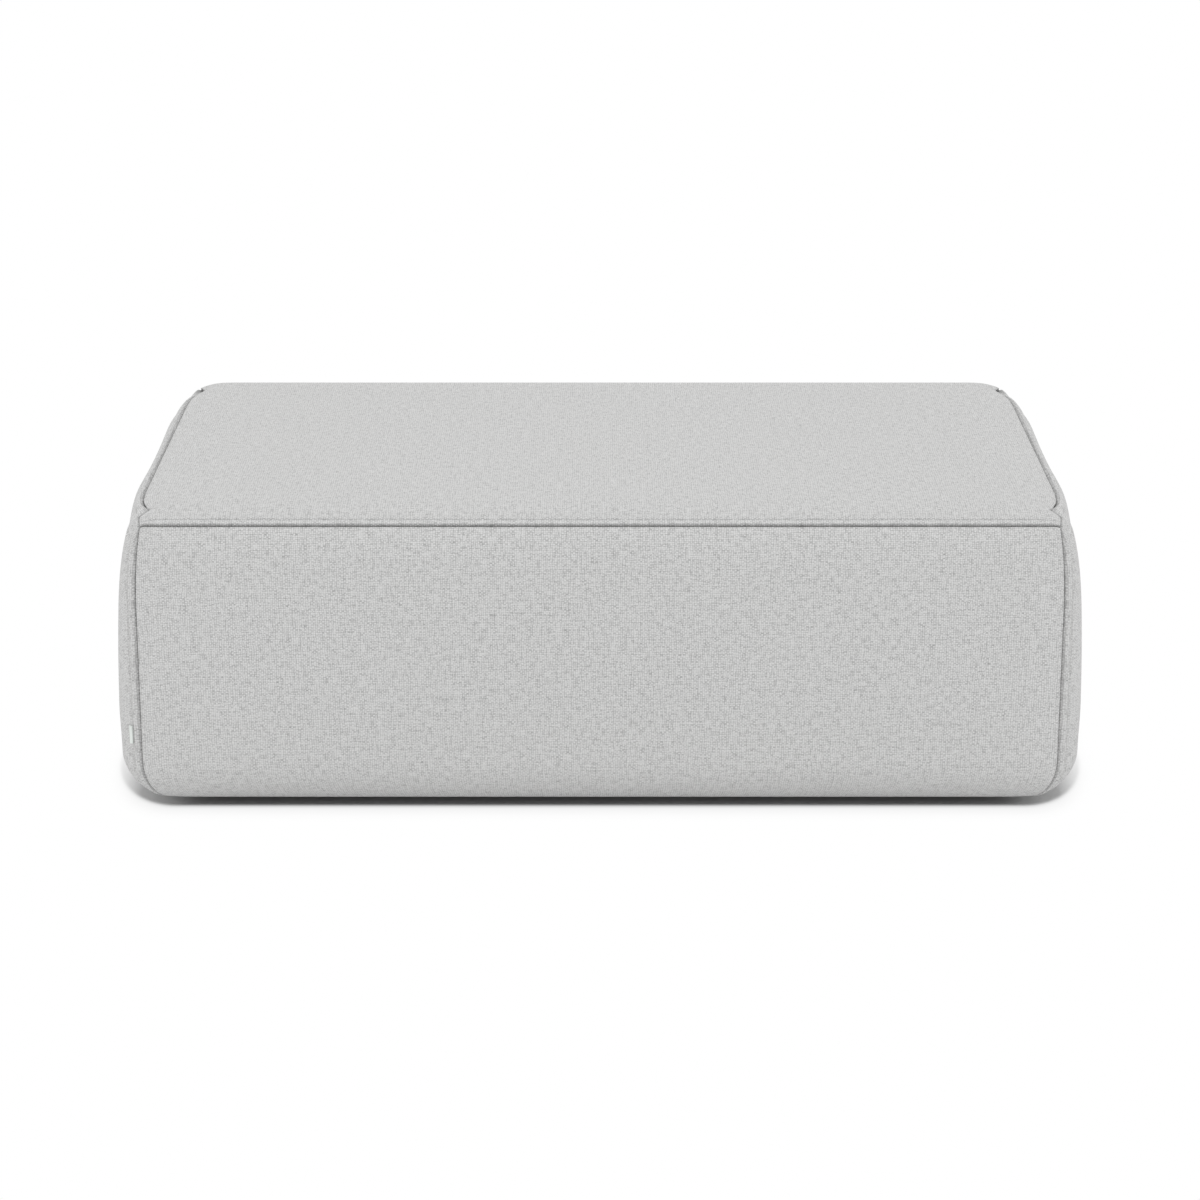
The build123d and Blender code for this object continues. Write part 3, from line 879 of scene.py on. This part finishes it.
def cloth_finish(name):
    """Coarse plain weave with uneven mottled yarns. A yarn's height is the power of its
    own sine times a lower power of the other's, and its tone is a noise drawn out along
    it. Fibres, slubs and patches are finer and coarser noises. The colour is a product:
    each pattern multiplies it by its least share plus its gain times the pattern."""
    material, field, shader = new_finish(name, Roughness=0.95, Specular_IOR_Level=0.15,
                                         Sheen_Weight=0.12, Sheen_Roughness=0.45)
    cloth = field.node("UVMap", {"uv_map": "cloth"})
    u = cloth.node("SeparateXYZ", Vector=cloth)
    v = cloth.node("SeparateXYZ", output=1, Vector=cloth)
    warp = u / warp_pitch + (cloth.noise(scale=70.0) - 0.5) * wander_of_yarns
    weft = v / weft_pitch + (cloth.noise(scale=90.0) - 0.5) * wander_of_yarns
    across, along = (warp * np.pi).maths("SINE"), (weft * np.pi).maths("SINE")
    warp_up = (across * along).between(-crossing_blend, crossing_blend)
    from_warp, from_weft = across.maths("ABSOLUTE"), along.maths("ABSOLUTE")
    warp_height = (from_warp ** yarn_round) * (from_weft ** yarn_end_round)
    weft_height = (from_weft ** yarn_round) * (from_warp ** yarn_end_round)
    height = warp_up * warp_height + (1 - warp_up) * weft_height
    along_warp = cloth.stretched(0.9 / warp_pitch, 0.20 / weft_pitch)
    along_weft = cloth.stretched(0.24 / warp_pitch, 0.9 / weft_pitch)
    warp_tone = along_warp.noise(scale=1.0, detail=3.0, roughness=0.6)
    weft_tone = along_weft.noise(scale=1.0, detail=3.0, roughness=0.6)
    tone = warp_up * warp_tone + (1 - warp_up) * weft_tone
    fibre = cloth.noise(scale=2600.0, detail=3.0, roughness=0.7)
    patch = cloth.noise(scale=9.0, detail=3.0)
    slub = cloth.noise(scale=260.0, detail=1.0)
    # Painted shade and light in the colour: the seam_shade attribute is painted shade in the
    # grooves, the yarn height paints shade into the gaps and pin holes between yarns, and warp_up
    # paints warp yarns on top lighter than weft yarns on top. Tone, patch, fibre and slub are the
    # cloth's own mottling.
    shade = 1 - field.node("Attribute", {"attribute_name": "seam_shade"}, output=2)
    for pattern, least, gain in ((height, 0.62, 0.43), (tone, 0.13, 1.74), (patch, 0.98, 0.04),
                                 (fibre, 0.95, 0.10), (warp_up, 0.92, 0.16), (slub, 0.96, 0.08)):
        shade = shade * (least + gain * pattern)
    bumps = height * 0.8 + tone * 0.5 + fibre * 0.15
    connect(shader, Base_Color=shade.mix(black, light_grey),
            Normal=field.node("Bump", Height=bumps, Distance=bump_height,
                              Strength=bump_strength))
    return material


cover_cloth = cloth_finish("light_grey_cloth")
for panel in panels:
    panel.data.materials.append(cover_cloth)
print("cloth on", len(panels), "panels")

# %% [markdown]
# Most of the other finishes are seen only underneath or in a cutaway. They are all made
# the same way: a main colour and a darker one mixed by a noise in the piece's own
# coordinates, stretched where the real material has a grain, and the same noise as a
# bump. Wood takes a stretch along each board, wadding and foam take round pores.

# %% Other finishes
def mottled(name, light, dark, stretch, scale, bump, roughness=0.8, metallic=0.0, bands=0.0):
    """Two colours mixed by a stretched noise, and in wood also by the sine of a broader
    one, which gives it bands."""
    material, field, shader = new_finish(name, Metallic=metallic, Specular_IOR_Level=0.3)
    place = field.node("TexCoord", output=3).stretched(*stretch)
    grain = place.noise(scale, detail=4.0, roughness=0.6)
    if bands:
        rings = ((place.noise(scale * 0.12) * bands).maths("SINE") + 1) * 0.5
        grain = grain * 0.5 + rings * 0.5
    colour = grain.between(0.3, 0.7).mix(tuple(dark) + (1,), tuple(light) + (1,))
    connect(shader, Base_Color=colour, Roughness=roughness - 0.1 * grain,
            Normal=field.node("Bump", Height=grain, Distance=bump, Strength=0.5))
    return material


even = (1, 1, 1)
pine, pine_dark = (0.64, 0.44, 0.25), (0.46, 0.28, 0.14)
finishes = {
    "timber_x": mottled("pine_along_x", pine, pine_dark, (0.05, 1, 1), 160, 0.0004, bands=60),
    "timber_y": mottled("pine_along_y", pine, pine_dark, (1, 0.05, 1), 160, 0.0004, bands=60),
    "wadding": mottled("wadding", (0.86, 0.86, 0.85), (0.76, 0.76, 0.75), even, 300, 0.001),
    "foam": mottled("foam", (0.82, 0.78, 0.64), (0.70, 0.66, 0.52), even, 900, 0.0006),
    "felt": mottled("felt", (0.34, 0.34, 0.33), (0.20, 0.20, 0.20), even, 500, 0.0005),
    "webbing": mottled("webbing", (0.17, 0.15, 0.13), (0.07, 0.06, 0.06), even, 1200, 0.0003),
    "zinc_steel": mottled("zinc", (0.66, 0.66, 0.64), (0.52, 0.52, 0.51), even, 400, 0.0001,
                          0.45, 1.0),
    "foot_plastic": mottled("black_plastic", (0.030, 0.030, 0.031), (0.020, 0.020, 0.021),
                            even, 1500, 0.0001, 0.55),
    "dust_cloth": mottled("black_non_woven", (0.030, 0.030, 0.031), (0.012, 0.012, 0.012),
                          even, 700, 0.0003, 0.95),
    "label_tape": mottled("label_tape", (0.84, 0.88, 0.85), (0.76, 0.80, 0.77), (1, 1, 0.1),
                          2500, 0.0001, 0.85),
    "thread": mottled("thread", (0.58, 0.58, 0.57), (0.44, 0.44, 0.43), even, 1800, 0.0001,
                      0.9)}
print("finishes:", ", ".join(finishes))

# %% [markdown]
# The record of the construction names a finish for each of its nodes, so they are handed
# out in a loop. A board takes the pine whose grain runs along it.

# %% Every piece gets its finish
clearly_longer = 1.1

for piece, finish in ((stitches, "thread"), (label, "label_tape"), (wadding, "wadding"),
                      (dust_cover, "dust_cloth"), (staples, "zinc_steel")):
    piece.data.materials.append(finishes[finish])
slots = {part["node"]: part["material_slot"] for part in frame["record"]["subparts"]}
for node, piece in frame["nodes"].items():
    finish = slots[node]
    if finish == "timber":
        low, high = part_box(node)
        along_x = high[0] - low[0] > clearly_longer * (high[1] - low[1])
        finish = "timber_x" if along_x else "timber_y"
    piece.data.materials.clear()
    piece.data.materials.append(finishes.get(finish, cover_cloth))
print("finishes on", len(frame["nodes"]), "construction nodes")

# %% [markdown]
# ## Floor
#
# The photograph has a short soft shadow on pure white. A lit floor comes out greyer than
# the white world behind it. The picture could be cut out and laid on white afterwards,
# but then its shadow would go too, so the floor's material shows its real shading near
# the footprint and glows plain white further out. Two fades say where: one follows the
# distance from a block inside the footprint, measured in ellipses that reach further in
# front than at the sides, and a softer one closes the shadow at the left and the right.
# The floor is painted darker for the camera than for the light that bounces off it, which
# deepens its shadow and still lights the piece from below.

# %% White floor that keeps the shadow
floor_size = 30.0
bright_floor, seen_floor = (0.90, 0.90, 0.90, 1), (0.55, 0.55, 0.55, 1)
shadow_core, shadow_edge, shadow_sides = (0.54, 0.12), (0.098, 0.2055), (0.59, 0.70)
fade_start, fade_width = 0.93, 0.6
fade = [(0.0, 0.0), (0.035, 0.17), (0.055, 0.38), (0.08, 0.62), (0.107, 0.77), (0.14, 0.85),
        (0.2, 0.90), (0.35, 0.97), (0.5, 1.0)]
side_fade = [(0.0, 0.0), (0.11, 0.22), (0.25, 0.50), (0.45, 0.85), (0.64, 0.97), (1.0, 1.0)]

white, paint, shader = new_finish("white_floor", Roughness=1.0, Specular_IOR_Level=0.0)
seen_by_camera = paint.node("LightPath")
connect(shader, Base_Color=seen_by_camera.mix(bright_floor, seen_floor))
place = paint.node("TexCoord", output=3)
beyond = place.vector_maths("ABSOLUTE").vector_maths("SUBTRACT", s1=shadow_core + (0,))
beyond = beyond.vector_maths("MAXIMUM", s1=(0, 0, 0))
beyond = beyond.stretched(1 / shadow_edge[0], 1 / shadow_edge[1], 0)
away = beyond.vector_maths("LENGTH", output=1)
clear = ((away - fade_start) / fade_width).ramp(fade)
beside = place.node("SeparateXYZ", Vector=place).maths("ABSOLUTE") - shadow_sides[0]
clear_sides = (beside / (shadow_sides[1] - shadow_sides[0])).ramp(side_fade)
clear = 1 - (1 - clear) * (1 - clear_sides)
glow = paint.node("Emission", Strength=1.0)
lit = Field(paint.tree, shader.outputs[0])
both = paint.node("MixShader", s0=clear * seen_by_camera, s1=lit, s2=glow)
paint.tree.links.new(both.socket, paint.tree.nodes["Material Output"].inputs["Surface"])
print("floor's paint nodes:", len(paint.tree.nodes))

# %% Lay the floor
floor_mesh = bpy.data.meshes.new("floor")
half = floor_size / 2
floor_mesh.from_pydata([(-half, -half, 0), (half, -half, 0), (half, half, 0), (-half, half, 0)],
                       [], [(0, 1, 2, 3)])
floor_mesh.materials.append(white)
floor = bpy.data.objects.new("floor", floor_mesh)
scene.collection.objects.link(floor)
print("floor:", floor_size, "m")
